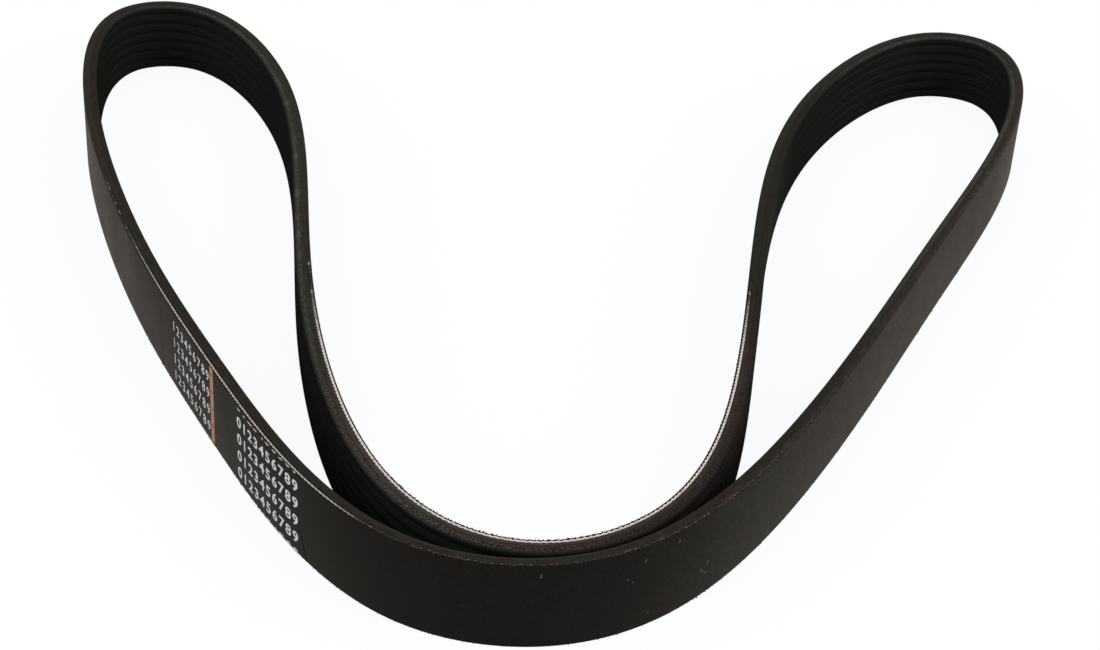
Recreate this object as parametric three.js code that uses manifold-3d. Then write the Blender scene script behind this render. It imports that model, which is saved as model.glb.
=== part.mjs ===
// A multi-ribbed serpentine belt, as drives the alternator, pumps and compressor of a car engine.
// It isn't on its pulleys: it stands on one cut edge, in the loose loop that it springs into, with
// two lobes behind and one side of the loop folded in until its ribs meet the ribs of the front run.
//
// The belt is one moulded strip of rubber, ribbed on the inside and smooth on the back. One strand
// of its load cord was grazed by the knife that slit the belt to width, so it lies bare in the top
// edge along two stretches, each a piece of its own here, in a channel that is cut for it.
//
// Millimetres and degrees. Z is up. X runs to the right along the front run, Y runs to the lobes.

import * as THREE from 'three';
import { mergeVertices } from 'three/addons/utils/BufferGeometryUtils.js';
import Module from 'manifold-3d';

// Driving dimensions of the belt
const BELT_LENGTH = 1538; // round the smooth back
const RIB_COUNT = 7;
const RIB_PITCH = 3.56; // from one rib to the next across the width
const RIB_HEIGHT = 2.2; // from the root of the groove to the crest of the rib
const RIB_ANGLE = 40; // between the two flanks of one rib
const ROOT_WIDTH = 0.6; // flat at the bottom of each groove
const CREST_CHAMFER = 0.3; // breaks both corners of each crest
const BACK_WALL = 2.4; // rubber from the smooth back to the roots
const BACK_CHAMFER = 0.3; // breaks the corner between the back and each cut edge

// Driving dimensions of the bare cord
const CORD_DIAMETER = 0.9;
const CORD_COVER = 0.5; // rubber between the cord and the smooth back
const CORD_CUT = 0.2; // how much of the cord's thickness the knife took off
const CORD_CLEARANCE = 0.1; // between the cord and its channel, all round
const CORD_DIVE = 1.1; // how far the cord sinks into the rubber at its two ends
const DIVE_LENGTH = 7; // over which it sinks
const CORD_SIDES = 8;

// Driving dimensions of the loop as it stands
const RUN_GAP = 0.6; // between the rib crests of the front run and of the inner bend
const FACET_ERROR = 0.18; // how far a flat facet may lie from the true bend
const LONGEST_FACET = 34;

// Sizes that follow
const BELT_WIDTH = RIB_COUNT * RIB_PITCH;
const BELT_THICKNESS = BACK_WALL + RIB_HEIGHT;
const FLANK_WIDTH = RIB_HEIGHT * Math.tan(THREE.MathUtils.degToRad(RIB_ANGLE / 2));
const CREST_WIDTH = RIB_PITCH - ROOT_WIDTH - 2 * FLANK_WIDTH;
const CORD_RADIUS = CORD_DIAMETER / 2;
const CORD_INSET = CORD_COVER + CORD_RADIUS;

// The places that the back of the belt passes through, seen from above, in the order of the loop.
// They give the shape of the loop. Its size then follows from the belt's length.
const LOOP_PLACES = [
  ['front right', 19, -163],
  ['right run, near', 67, -110],
  ['right run, middle', 123, 11],
  ['right run, far', 161, 110],
  ['right tip, outside', 158, 160],
  ['right tip, inside', 132, 166],
  ['right shoulder', 89, 114],
  ['right neck', 65, 22],
  ['right leg', 51, -93],
  ['inner bend, right', 30, -143],
  ['inner bend, middle', 1, -157],
  ['inner bend, left', -32, -138],
  ['left neck', -67, -35],
  ['left shoulder', -90, 90],
  ['left tip, inside', -132, 153],
  ['left tip, outside', -158, 147],
  ['left run, far', -160, 88],
  ['left run, middle', -125, -16],
  ['left run, near', -87, -90],
  ['front left', -34, -159],
];
const INNER_BEND = ['inner bend, right', 'inner bend, middle', 'inner bend, left'];
const BARE_CORDS = [
  { node: 'bare_cord_inner_run', from: 'right neck', to: 'left neck' },
  { node: 'bare_cord_outer_run', from: 'left run, far', to: 'front left' },
];

const rubber = new THREE.MeshStandardMaterial({ color: 0x2b2a27, roughness: 0.72, metalness: 0 });
const cordYarn = new THREE.MeshStandardMaterial({ color: 0xcbb79a, roughness: 0.85, metalness: 0 });

// A springy strip bends evenly, so the loop is the closed cubic spline whose bend runs on smoothly
// through every place. Each velocity depends on its two neighbours, and a few sweeps settle them.
function smoothLoop(places) {
  const count = places.length;
  const next = (i) => (i + 1) % count;
  const before = (i) => (i + count - 1) % count;
  const span = places.map((p, i) => Math.sqrt(p.distanceTo(places[next(i)])));
  const velocity = places.map(() => new THREE.Vector2());
  const sweeps = 60;
  for (let sweep = 0; sweep < sweeps; sweep++) {
    for (let i = 0; i < count; i++) {
      const back = span[before(i)];
      const on = span[i];
      const pull = places[next(i)].clone().sub(places[i]).multiplyScalar(3 / (on * on));
      pull.addScaledVector(places[i].clone().sub(places[before(i)]), 3 / (back * back));
      pull.addScaledVector(velocity[before(i)], -1 / back);
      pull.addScaledVector(velocity[next(i)], -1 / on);
      velocity[i].copy(pull.divideScalar(2 / back + 2 / on));
    }
  }
  const loop = new THREE.Path();
  loop.moveTo(places[0].x, places[0].y);
  for (let i = 0; i < count; i++) {
    const leave = places[i].clone().addScaledVector(velocity[i], span[i] / 3);
    const arrive = places[next(i)].clone().addScaledVector(velocity[next(i)], -span[i] / 3);
    loop.bezierCurveTo(leave.x, leave.y, arrive.x, arrive.y, places[next(i)].x, places[next(i)].y);
  }
  return loop;
}

// Room between the rib crests where the inner bend faces the front run.
function crestRoom(loop) {
  const segment = (name) => loop.curves[LOOP_PLACES.findIndex((place) => place[0] === name)];
  const sample = (names) => names.flatMap((name) => segment(name).getPoints(40));
  const front = sample(['left run, near', 'front left', 'front right']);
  const inner = sample(['right leg', ...INNER_BEND]);
  const distances = front.flatMap((p) => inner.map((q) => p.distanceTo(q)));
  return Math.min(...distances) - 2 * BELT_THICKNESS;
}

// The loop is scaled until its back has the belt's length, and its inner bend is moved back until
// the crests clear each other, however thick the belt is. Each step corrects what the last left.
function layLoop() {
  let scale = 1;
  let setBack = 0;
  let loop = null;
  const steps = 14;
  for (let step = 0; step < steps; step++) {
    const places = LOOP_PLACES.map(([name, x, y]) => {
      const moved = INNER_BEND.includes(name) ? setBack : 0;
      return new THREE.Vector2(x * scale, y * scale + moved);
    });
    loop = smoothLoop(places);
    scale *= BELT_LENGTH / loop.getLength();
    setBack += RUN_GAP - crestRoom(loop);
  }
  return loop;
}

// Stations are places along the loop where a section of the belt is set, closer in tighter bends.
function stationsAlong(loop) {
  const samples = 3000;
  const length = loop.getLength();
  const crowding = [0];
  for (let i = 0; i < samples; i++) {
    const here = loop.getTangentAt(i / samples);
    const there = loop.getTangentAt(((i + 1) % samples) / samples);
    const curvature = here.distanceTo(there) * samples / length;
    const perMillimetre = Math.max(Math.sqrt(curvature / (8 * FACET_ERROR)), 1 / LONGEST_FACET);
    crowding.push(crowding[i] + perMillimetre * length / samples);
  }
  const count = Math.ceil(crowding[samples]);
  const stations = [];
  let i = 0;
  for (let k = 0; k < count; k++) {
    const wanted = crowding[samples] * k / count;
    while (crowding[i + 1] < wanted) i++;
    const part = (wanted - crowding[i]) / (crowding[i + 1] - crowding[i]);
    stations.push((i + part) / samples);
  }
  return stations;
}

// A frame on the back of the belt: where it is, and which way is inwards, towards the ribs.
function frameAt(loop, station) {
  const place = loop.getPointAt(station);
  const along = loop.getTangentAt(station);
  return { place, inwards: new THREE.Vector2(-along.y, along.x) };
}

// Section of the belt. X is the distance in from the back, Y is the height above the lower edge.
function beltSection() {
  const crestCorner = Math.min(CREST_CHAMFER, CREST_WIDTH / 3);
  const flankLength = Math.hypot(RIB_HEIGHT, FLANK_WIDTH);
  const downFlank = crestCorner / flankLength;
  const points = [
    new THREE.Vector2(BACK_CHAMFER, 0),
    new THREE.Vector2(BACK_WALL, 0),
  ];
  for (let rib = 0; rib < RIB_COUNT; rib++) {
    const low = rib * RIB_PITCH + ROOT_WIDTH / 2;
    const high = (rib + 1) * RIB_PITCH - ROOT_WIDTH / 2;
    const shoulder = BELT_THICKNESS - downFlank * RIB_HEIGHT;
    const lean = FLANK_WIDTH * (1 - downFlank);
    points.push(
      new THREE.Vector2(BACK_WALL, low),
      new THREE.Vector2(shoulder, low + lean),
      new THREE.Vector2(BELT_THICKNESS, low + FLANK_WIDTH + crestCorner),
      new THREE.Vector2(BELT_THICKNESS, high - FLANK_WIDTH - crestCorner),
      new THREE.Vector2(shoulder, high - lean),
      new THREE.Vector2(BACK_WALL, high),
    );
  }
  points.push(
    new THREE.Vector2(BACK_WALL, BELT_WIDTH),
    new THREE.Vector2(BACK_CHAMFER, BELT_WIDTH),
    new THREE.Vector2(0, BELT_WIDTH - BACK_CHAMFER),
    new THREE.Vector2(0, BACK_CHAMFER),
  );
  return points;
}

// Round section, cut flat at the top edge of the belt where the knife has grazed it.
function roundSection(radius, top) {
  const cutHalf = Math.acos(top / radius);
  const corners = cutHalf > 0 ? CORD_SIDES + 1 : CORD_SIDES;
  const points = [];
  for (let corner = 0; corner < corners; corner++) {
    const angle = Math.PI / 2 + cutHalf + (2 * Math.PI - 2 * cutHalf) * corner / CORD_SIDES;
    points.push(new THREE.Vector2(Math.cos(angle) * radius, Math.sin(angle) * radius));
  }
  return points;
}

// Sets one ring of points after another and skins them. A closed strip joins its last ring to its
// first, and an open one gets a cap at each end.
function skin(rings, closed) {
  const size = rings[0].length;
  const positions = rings.flat().flatMap((p) => [p.x, p.y, p.z]);
  const faces = [];
  const bays = closed ? rings.length : rings.length - 1;
  for (let r = 0; r < bays; r++) {
    const here = r * size;
    const there = ((r + 1) % rings.length) * size;
    for (let i = 0; i < size; i++) {
      const j = (i + 1) % size;
      faces.push(here + i, here + j, there + i, here + j, there + j, there + i);
    }
  }
  if (!closed) {
    const last = (rings.length - 1) * size;
    for (let i = 1; i < size - 1; i++) {
      faces.push(0, i + 1, i, last, last + i, last + i + 1);
    }
  }
  const geometry = new THREE.BufferGeometry();
  geometry.setAttribute('position', new THREE.Float32BufferAttribute(positions, 3));
  geometry.setIndex(faces);
  return geometry;
}

function ringAt(frame, section, inset, height) {
  return section.map((p) => {
    const spot = frame.place.clone().addScaledVector(frame.inwards, inset + p.x);
    return new THREE.Vector3(spot.x, spot.y, height + p.y);
  });
}

function sweepBelt(loop, stations) {
  const section = beltSection();
  return skin(stations.map((station) => ringAt(frameAt(loop, station), section, 0, 0)), true);
}

// A strand along the top edge, between two stations. It sinks into the rubber at both ends.
function sweepCord(loop, stations, from, to, section, endRoom) {
  const length = loop.getLength();
  const first = from - endRoom / length;
  const last = to + endRoom / length;
  const dive = DIVE_LENGTH / length;
  const level = BELT_WIDTH - (CORD_RADIUS - CORD_CUT);
  const isBare = (station) => station > from + dive && station < to - dive;
  const marks = [
    first,
    from + dive / 2,
    from + dive,
    ...stations.filter(isBare),
    to - dive,
    to - dive / 2,
    last,
  ];
  const rings = marks.map((mark) => {
    const fromEnd = Math.min(mark - from, to - mark) / dive;
    const sunk = 1 - THREE.MathUtils.smoothstep(fromEnd, 0, 1);
    return ringAt(frameAt(loop, mark), section, CORD_INSET, level - CORD_DIVE * sunk);
  });
  return skin(rings, false);
}

// Where a named place of the loop lies along it.
function stationOf(loop, name) {
  const index = LOOP_PLACES.findIndex((place) => place[0] === name);
  const lengths = loop.getCurveLengths();
  return index === 0 ? 0 : lengths[index - 1] / loop.getLength();
}

const wasm = await Module();
wasm.setup();

function toSolid(geometry) {
  const merged = mergeVertices(geometry);
  const vertProperties = new Float32Array(merged.attributes.position.array);
  const triVerts = new Uint32Array(merged.index.array);
  return new wasm.Manifold(new wasm.Mesh({ numProp: 3, vertProperties, triVerts }));
}

function fromSolid(solid) {
  const mesh = solid.getMesh();
  const geometry = new THREE.BufferGeometry();
  geometry.setAttribute('position', new THREE.BufferAttribute(mesh.vertProperties, 3));
  geometry.setIndex(new THREE.BufferAttribute(mesh.triVerts, 1));
  return geometry;
}

function addMesh(group, name, geometry, material) {
  geometry.computeVertexNormals();
  const mesh = new THREE.Mesh(geometry, material);
  mesh.name = name;
  group.add(mesh);
}

const belt = new THREE.Group();
belt.name = 'serpentine_belt';

const loop = layLoop();
const stations = stationsAlong(loop);
const cordSection = roundSection(CORD_RADIUS, CORD_RADIUS - CORD_CUT);
const channelRadius = (CORD_RADIUS + CORD_CLEARANCE) / Math.cos(Math.PI / CORD_SIDES);
const channelSection = roundSection(channelRadius, channelRadius);

let body = toSolid(sweepBelt(loop, stations));
for (const { node, from, to } of BARE_CORDS) {
  const start = stationOf(loop, from);
  const end = stationOf(loop, to);
  const channel = sweepCord(loop, stations, start, end, channelSection, CORD_CLEARANCE);
  body = body.subtract(toSolid(channel));
  const cord = sweepCord(loop, stations, start, end, cordSection, 0);
  addMesh(belt, node, cord, cordYarn);
}
addMesh(belt, 'belt_body', fromSolid(body), rubber);

// The origin is under the middle of the belt's box, on the surface that it stands on.
const box = new THREE.Box3().setFromObject(belt);
const middle = box.getCenter(new THREE.Vector3());
belt.position.set(-middle.x, -middle.y, -box.min.z);
belt.updateMatrixWorld(true);

export default belt;
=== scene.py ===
# %% [markdown]
# A serpentine belt, off its pulleys
#
# This notebook dresses the model of a car's ribbed drive belt. The belt is a strip of black rubber,
# ribbed inside and smooth on the back. It stands on its cut edge in the loose loop that it springs
# into. The solid model gives the size and place of everything, so it is loaded first.

# %% Load the model
import math

import bpy
import numpy as np
from mathutils import Matrix, Vector


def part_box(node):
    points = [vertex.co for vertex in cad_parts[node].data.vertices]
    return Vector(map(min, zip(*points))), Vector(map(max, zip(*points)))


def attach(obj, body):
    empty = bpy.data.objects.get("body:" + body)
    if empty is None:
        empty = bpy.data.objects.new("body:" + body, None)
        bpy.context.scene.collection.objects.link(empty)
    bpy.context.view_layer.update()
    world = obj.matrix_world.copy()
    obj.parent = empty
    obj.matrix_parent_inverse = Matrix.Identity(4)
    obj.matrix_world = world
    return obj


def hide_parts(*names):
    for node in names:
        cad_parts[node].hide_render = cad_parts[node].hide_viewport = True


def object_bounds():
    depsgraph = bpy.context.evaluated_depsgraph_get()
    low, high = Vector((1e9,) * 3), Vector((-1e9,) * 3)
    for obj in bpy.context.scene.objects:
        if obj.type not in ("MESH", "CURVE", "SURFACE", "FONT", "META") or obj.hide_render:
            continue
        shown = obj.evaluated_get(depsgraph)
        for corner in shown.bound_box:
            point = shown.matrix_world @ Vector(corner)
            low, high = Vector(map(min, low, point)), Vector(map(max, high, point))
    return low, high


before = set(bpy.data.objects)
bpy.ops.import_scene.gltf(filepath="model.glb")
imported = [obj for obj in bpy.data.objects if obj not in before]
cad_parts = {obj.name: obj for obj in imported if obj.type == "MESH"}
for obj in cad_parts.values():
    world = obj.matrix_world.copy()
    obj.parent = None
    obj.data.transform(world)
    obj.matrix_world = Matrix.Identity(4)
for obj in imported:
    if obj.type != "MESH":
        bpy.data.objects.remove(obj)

SOLID_BOX = [list(corner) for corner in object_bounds()]
print("nodes:", sorted(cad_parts))


def add_object(name, data):
    """Puts data into the scene as an object at the origin."""
    added = bpy.data.objects.new(name, data)
    bpy.context.scene.collection.objects.link(added)
    return added


# %% [markdown]
# The sizes of the belt
#
# A ribbed belt has a standard section, so a few sizes say all of it. Blender works in metres, and
# belt makers in millimetres, so each size is written as they would and turned into metres here.

# %% Sizes of the belt
MM = 0.001
BELT_LENGTH = 1538 * MM
RIB_COUNT = 7
RIB_PITCH = 3.56 * MM
RIB_HEIGHT = 2.2 * MM
RIB_ANGLE = math.radians(40)
ROOT_WIDTH = 0.6 * MM
BACK_WALL = 2.4 * MM
BELT_WIDTH = RIB_COUNT * RIB_PITCH
BELT_THICKNESS = BACK_WALL + RIB_HEIGHT
FLANK_WIDTH = RIB_HEIGHT * math.tan(RIB_ANGLE / 2)
RUN_GAP = 0.6 * MM
print(f"belt {BELT_WIDTH / MM:.2f} mm wide and {BELT_THICKNESS / MM:.1f} mm thick")

# %% [markdown]
# The loop
#
# A springy strip bends evenly. A closed cubic spline through a few places does the same: its bend
# never jumps. Blender's Bezier curve draws such a spline once its handles are right, and each handle
# depends on its two neighbours, so a few sweeps settle them all. The loop is then scaled until its
# back has the belt's real length, and the folded-in bend is set back until the ribs just clear.

# %% Places that the back of the belt passes through, in millimetres
LOOP_PLACES = {
    "front right": (19, -163),
    "right run, near": (67, -110),
    "right run, middle": (123, 11),
    "right run, far": (161, 110),
    "right tip, outside": (158, 160),
    "right tip, inside": (132, 166),
    "right shoulder": (89, 114),
    "right neck": (65, 22),
    "right leg": (51, -93),
    "inner bend, right": (30, -143),
    "inner bend, middle": (1, -157),
    "inner bend, left": (-32, -138),
    "left neck": (-67, -35),
    "left shoulder": (-90, 90),
    "left tip, inside": (-132, 153),
    "left tip, outside": (-158, 147),
    "left run, far": (-160, 88),
    "left run, middle": (-125, -16),
    "left run, near": (-87, -90),
    "front left": (-34, -159),
}
PLACE_NAMES = list(LOOP_PLACES)
INNER_BEND = ["inner bend, right", "inner bend, middle", "inner bend, left"]
print(len(LOOP_PLACES), "places on the loop")

# %% Handles of the smooth loop
SETTLING_SWEEPS = 60
STEPS_PER_STRETCH = 200


def settle_handles(places):
    """Returns the place, the handle before it and the handle after it, for every place."""
    ahead = np.roll(places, -1, axis=0)
    span = np.sqrt(np.linalg.norm(ahead - places, axis=1))
    count = len(places)
    velocity = np.zeros_like(places)
    for _ in range(SETTLING_SWEEPS):
        for i in range(count):
            before, after = (i - 1) % count, (i + 1) % count
            back, on = span[before], span[i]
            pull = 3 * (places[after] - places[i]) / on**2
            pull += 3 * (places[i] - places[before]) / back**2
            pull -= velocity[before] / back + velocity[after] / on
            velocity[i] = pull / (2 / back + 2 / on)
    arrive = places - velocity * np.roll(span, 1)[:, None] / 3
    leave = places + velocity * span[:, None] / 3
    return places, arrive, leave


def sample_loop(places, arrive, leave):
    """Points along the loop, as one row of steps for each stretch between two places."""
    t = (np.arange(STEPS_PER_STRETCH) / STEPS_PER_STRETCH)[None, :, None]
    start, out = places[:, None], leave[:, None]
    end, into = np.roll(places, -1, axis=0)[:, None], np.roll(arrive, -1, axis=0)[:, None]
    return start * (1 - t)**3 + out * 3 * t * (1 - t)**2 + into * 3 * t**2 * (1 - t) + end * t**3


def loop_length(stretches):
    """Metres once round the loop."""
    points = stretches.reshape(-1, 2)
    return np.linalg.norm(np.roll(points, -1, axis=0) - points, axis=1).sum()


# %% Lay the loop at its real length
FITTING_ROUNDS = 14
FRONT_RUN = ["left run, near", "front left", "front right"]
FACING_RUN = ["right leg", *INNER_BEND]
TEST_EVERY = 5


def points_of(stretches, names):
    """Some of the points of the stretches that start at these places."""
    rows = [PLACE_NAMES.index(name) for name in names]
    return stretches[rows].reshape(-1, 2)[::TEST_EVERY]


def crest_room(stretches):
    """Room between the rib crests of the front run and of the inner bend."""
    front = points_of(stretches, FRONT_RUN)
    inner = points_of(stretches, FACING_RUN)
    return np.linalg.norm(front[:, None] - inner[None], axis=2).min() - 2 * BELT_THICKNESS


scale, set_back = 1.0, 0.0
for _ in range(FITTING_ROUNDS):
    places = np.array(list(LOOP_PLACES.values()), dtype=float) * MM * scale
    for name in INNER_BEND:
        places[PLACE_NAMES.index(name), 1] += set_back
    handles = settle_handles(places)
    stretches = sample_loop(*handles)
    scale *= BELT_LENGTH / loop_length(stretches)
    set_back += RUN_GAP - crest_room(stretches)

all_points = stretches.reshape(-1, 2)
low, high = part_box("belt_body")
middle = Vector(((low[0] + high[0]) / 2, (low[1] + high[1]) / 2))
shift = np.array(middle) - (all_points.min(axis=0) + all_points.max(axis=0)) / 2
steps = np.linalg.norm(np.roll(all_points, -1, axis=0) - all_points, axis=1)
STATION = dict(zip(PLACE_NAMES, np.concatenate([[0], np.cumsum(steps)])[:-1:stretches.shape[1]]))
print(f"loop {steps.sum() / MM:.1f} mm long, crests clear by {crest_room(stretches) / MM:.2f} mm")

# %% The loop as a Blender curve
CURVE_STEPS = 64

path_data = bpy.data.curves.new("belt_path", "CURVE")
path_data.dimensions = "3D"
path_data.resolution_u = CURVE_STEPS
spline = path_data.splines.new("BEZIER")
spline.bezier_points.add(len(places) - 1)
spline.use_cyclic_u = True
for knot, place, arrive, leave in zip(spline.bezier_points, *(points + shift for points in handles)):
    knot.handle_left_type = knot.handle_right_type = "FREE"
    knot.co = (*place, 0)
    knot.handle_left = (*arrive, 0)
    knot.handle_right = (*leave, 0)
belt_path = add_object("belt_path", path_data)
print(len(spline.bezier_points), "knots on the path")

# %% [markdown]
# Arithmetic on sockets
#
# Both the shapes and the finishes below are node trees. Wired by hand, a sum of five terms is four
# nodes and eight links. A small class that wraps a socket lets Python's own operators add those
# nodes, so a formula in the script reads as a formula. Anything that isn't arithmetic comes from
# one method, node(), which takes the node's type, its settings and its sockets.


# %% A socket that Python's operators work on
class Wire:
    """A socket of a node tree. Arithmetic on it adds Math nodes."""

    def __init__(self, tree, socket=None):
        self.tree = tree
        self.socket = socket

    def node(self, kind, settings=None, sockets=None, output=0):
        """Adds a node, sets it, fills or links its sockets, and returns one of its outputs."""
        made = self.tree.nodes.new(kind)
        for name, value in (settings or {}).items():
            setattr(made, name, value)
        for name, value in (sockets or {}).items():
            if isinstance(value, Wire):
                self.tree.links.new(value.socket, made.inputs[name])
            else:
                made.inputs[name].default_value = value
        return Wire(self.tree, made.outputs[output])

    def other(self, output):
        """Another output of the node that this socket belongs to."""
        return Wire(self.tree, self.socket.node.outputs[output])

    def calculate(self, operation, *values):
        """A Math node on these values."""
        return self.node("ShaderNodeMath", {"operation": operation}, dict(enumerate(values)))

    def math(self, operation, *more):
        """A Math node whose first value is this one."""
        return self.calculate(operation, self, *more)

    def vector(self, operation, *more):
        """A Vector Math node whose first vector is this one."""
        settings = {"operation": operation}
        return self.node("ShaderNodeVectorMath", settings, dict(enumerate((self, *more))))

    def __add__(self, other):
        return self.calculate("ADD", self, other)

    def __radd__(self, other):
        return self.calculate("ADD", other, self)

    def __sub__(self, other):
        return self.calculate("SUBTRACT", self, other)

    def __rsub__(self, other):
        return self.calculate("SUBTRACT", other, self)

    def __mul__(self, other):
        return self.calculate("MULTIPLY", self, other)

    def __rmul__(self, other):
        return self.calculate("MULTIPLY", other, self)

    def __truediv__(self, other):
        return self.calculate("DIVIDE", self, other)

    def __rtruediv__(self, other):
        return self.calculate("DIVIDE", other, self)

    def __gt__(self, other):
        return self.calculate("GREATER_THAN", self, other)

    def smooth(self, start, end):
        """0 before start, 1 after end, and an even rise between them."""
        settings = {"interpolation_type": "SMOOTHSTEP"}
        return self.node("ShaderNodeMapRange", settings, {0: self, 1: start, 2: end})

    def scaled(self, factor):
        """This vector times a number."""
        return self.node("ShaderNodeVectorMath", {"operation": "SCALE"}, {0: self, 3: factor})

    def combine(self, x=0.0, y=0.0, z=0.0):
        """A vector of three numbers. This socket only says in which tree."""
        return self.node("ShaderNodeCombineXYZ", {}, {0: x, 1: y, 2: z})

    def part(self, axis):
        """The X, Y or Z of this vector."""
        return self.node("ShaderNodeSeparateXYZ", {}, {0: self}, axis)

    def noise(self, lump, detail):
        """Noise from 0 to 1 read at this vector, with lumps of about that size."""
        sockets = {"Vector": self, "Scale": 1 / lump, "Detail": detail}
        return self.node("ShaderNodeTexNoise", {}, sockets)

    def mix(self, first, second):
        """A colour: first where this mask is 0, and second where it is 1."""
        sockets = {0: self, 6: first, 7: second}
        return self.node("ShaderNodeMix", {"data_type": "RGBA"}, sockets, output=2)


# %% [markdown]
# Shapes from a node tree
#
# Each shape that follows the loop is a Geometry Nodes tree. It is run once on an empty mesh, its
# result is copied to a plain mesh, and the modifier is taken off. The tree's inputs have names, but
# a modifier keeps their values under each socket's identifier, so that is what bake() looks up.

# %% Make a tree with named inputs, and bake it
SOCKET_TYPES = {
    "object": "NodeSocketObject",
    "material": "NodeSocketMaterial",
    "whole": "NodeSocketInt",
    "number": "NodeSocketFloat",
}


def new_tree(name, **inputs):
    """Returns a Wire to start from, and a Wire for each named input."""
    tree = bpy.data.node_groups.new(name, "GeometryNodeTree")
    tree.interface.new_socket("Shape", in_out="OUTPUT", socket_type="NodeSocketGeometry")
    for label, kind in inputs.items():
        tree.interface.new_socket(label, in_out="INPUT", socket_type=SOCKET_TYPES[kind])
    start = Wire(tree).node("NodeGroupInput")
    return start, {label: start.other(label) for label in inputs}


def finish_tree(shape, material):
    """Ends a tree. No vertex may stand proud of the solid model's box."""
    realized = shape.node("GeometryNodeRealizeInstances", {}, {0: shape})
    low, high = SOLID_BOX
    inside = shape.node("GeometryNodeInputPosition").vector("MAXIMUM", low).vector("MINIMUM", high)
    fitted = shape.node("GeometryNodeSetPosition", {}, {0: realized, 2: inside})
    painted = shape.node("GeometryNodeSetMaterial", {}, {0: fitted, 2: material})
    result = shape.tree.nodes.new("NodeGroupOutput")
    shape.tree.links.new(painted.socket, result.inputs[0])


def bake(name, start, **values):
    """Runs a tree once with these inputs, and keeps its shape as a plain mesh."""
    piece = add_object(name, bpy.data.meshes.new(name))
    modifier = piece.modifiers.new("shape", "NODES")
    modifier.node_group = start.tree
    for item in start.tree.interface.items_tree:
        if item.in_out == "INPUT":
            modifier[item.identifier] = values[item.name]
    evaluated = piece.evaluated_get(bpy.context.evaluated_depsgraph_get())
    mesh = bpy.data.meshes.new_from_object(evaluated)
    piece.modifiers.clear()
    piece.data = mesh
    mesh.name = name
    triangles = sum(len(face.vertices) - 2 for face in mesh.polygons)
    print(f"{name}: {triangles} triangles")
    return piece


# %% [markdown]
# The section of the belt
#
# Cut across, the belt is a flat back, two cut edges and seven V ribs. Real corners are never sharp:
# the mould and the knife round them a little, and that rounding is what catches the light. So each
# corner of the outline is written once with its own setback, and a helper turns it into a short arc.
# In the top edge a few points can sink, which opens the channel in which the bare cord lies.

# %% Round the corners of an outline
ARC_STEPS = 3


def rounded(corners):
    """corners is a list of (x, y, setback). A corner with no setback stays as it is."""
    points = []
    for i, (x, y, setback) in enumerate(corners):
        corner = Vector((x, y))
        if setback == 0:
            points.append(corner)
            continue
        before = Vector(corners[i - 1][:2])
        after = Vector(corners[(i + 1) % len(corners)][:2])
        start = corner + (before - corner).normalized() * setback
        end = corner + (after - corner).normalized() * setback
        for step in range(ARC_STEPS + 1):
            t = step / ARC_STEPS
            points.append(start * (1 - t)**2 + corner * 2 * t * (1 - t) + end * t**2)
    return points


# %% Outline of the section
CREST_SETBACK = 0.32 * MM
ROOT_SETBACK = 0.14 * MM
BACK_SETBACK = 0.28 * MM
CHANNEL_CENTRE = 0.78 * MM
CHANNEL_HALF = 0.45 * MM
CHANNEL_DEPTH = 0.7 * MM
# How far each point lies from the channel's centre, in half widths, and how much of the depth it sinks
CHANNEL_PROFILE = [(1.1, 0), (0.95, 0.6), (0.5, 1), (-0.5, 1), (-0.95, 0.6), (-1.1, 0)]

outline = [(0, 0, BACK_SETBACK), (BACK_WALL, 0, 0)]
for rib in range(RIB_COUNT):
    low_root = rib * RIB_PITCH + ROOT_WIDTH / 2
    high_root = (rib + 1) * RIB_PITCH - ROOT_WIDTH / 2
    outline += [
        (BACK_WALL, low_root, ROOT_SETBACK),
        (BELT_THICKNESS, low_root + FLANK_WIDTH, CREST_SETBACK),
        (BELT_THICKNESS, high_root - FLANK_WIDTH, CREST_SETBACK),
        (BACK_WALL, high_root, ROOT_SETBACK),
    ]
outline += [(BACK_WALL, BELT_WIDTH, 0)]
channel_start = len(rounded(outline))
for reach, _ in CHANNEL_PROFILE:
    outline += [(CHANNEL_CENTRE + CHANNEL_HALF * reach, BELT_WIDTH, 0)]
outline += [(0, BELT_WIDTH, BACK_SETBACK)]
section_points = rounded(outline)

section_data = bpy.data.meshes.new("belt_section")
section_data.from_pydata([(*point, 0) for point in section_points], [], [])
sinks = section_data.attributes.new("sinks", "FLOAT", "POINT")
for index, (_, amount) in enumerate(CHANNEL_PROFILE, channel_start):
    sinks.data[index].value = amount
belt_section = add_object("belt_section", section_data)
print(len(section_points), "points round the section")

# %% [markdown]
# Where the cord shows
#
# The strength of a belt is a polyester cord wound inside it. The cutter that parts a wide moulded
# sleeve into belts grazes the outermost turn, so stretches of cord lie bare in the top cut edge.
# Shape and finish both need to know where, so this is worked out once, for either kind of tree.
# Towards the ends of a stretch the cord is smeared with rubber, which only its colour shows.

# %% Where the cord lies bare, in metres along the belt
INNER_BARE = (0.598, 0.922)
OUTER_BARE = (1.270, 1.488)
FADE = 16 * MM
RIGHT_LEG_SMEAR = (0.606, 0.650)
LEFT_LEG_SMEAR = (0.862, 0.905)
OUTER_START_SMEAR = (1.305, 1.370)
OUTER_END_SMEAR = (1.458, 1.478)


def bare(along, stretch):
    """1 where the cord lies bare, falling to 0 at both ends of the stretch."""
    start, end = stretch
    return along.smooth(start, start + FADE) - along.smooth(end - FADE, end)


for stretch in (INNER_BARE, OUTER_BARE):
    print(f"cord bare from {stretch[0] / MM:.0f} to {stretch[1] / MM:.0f} mm")

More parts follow.
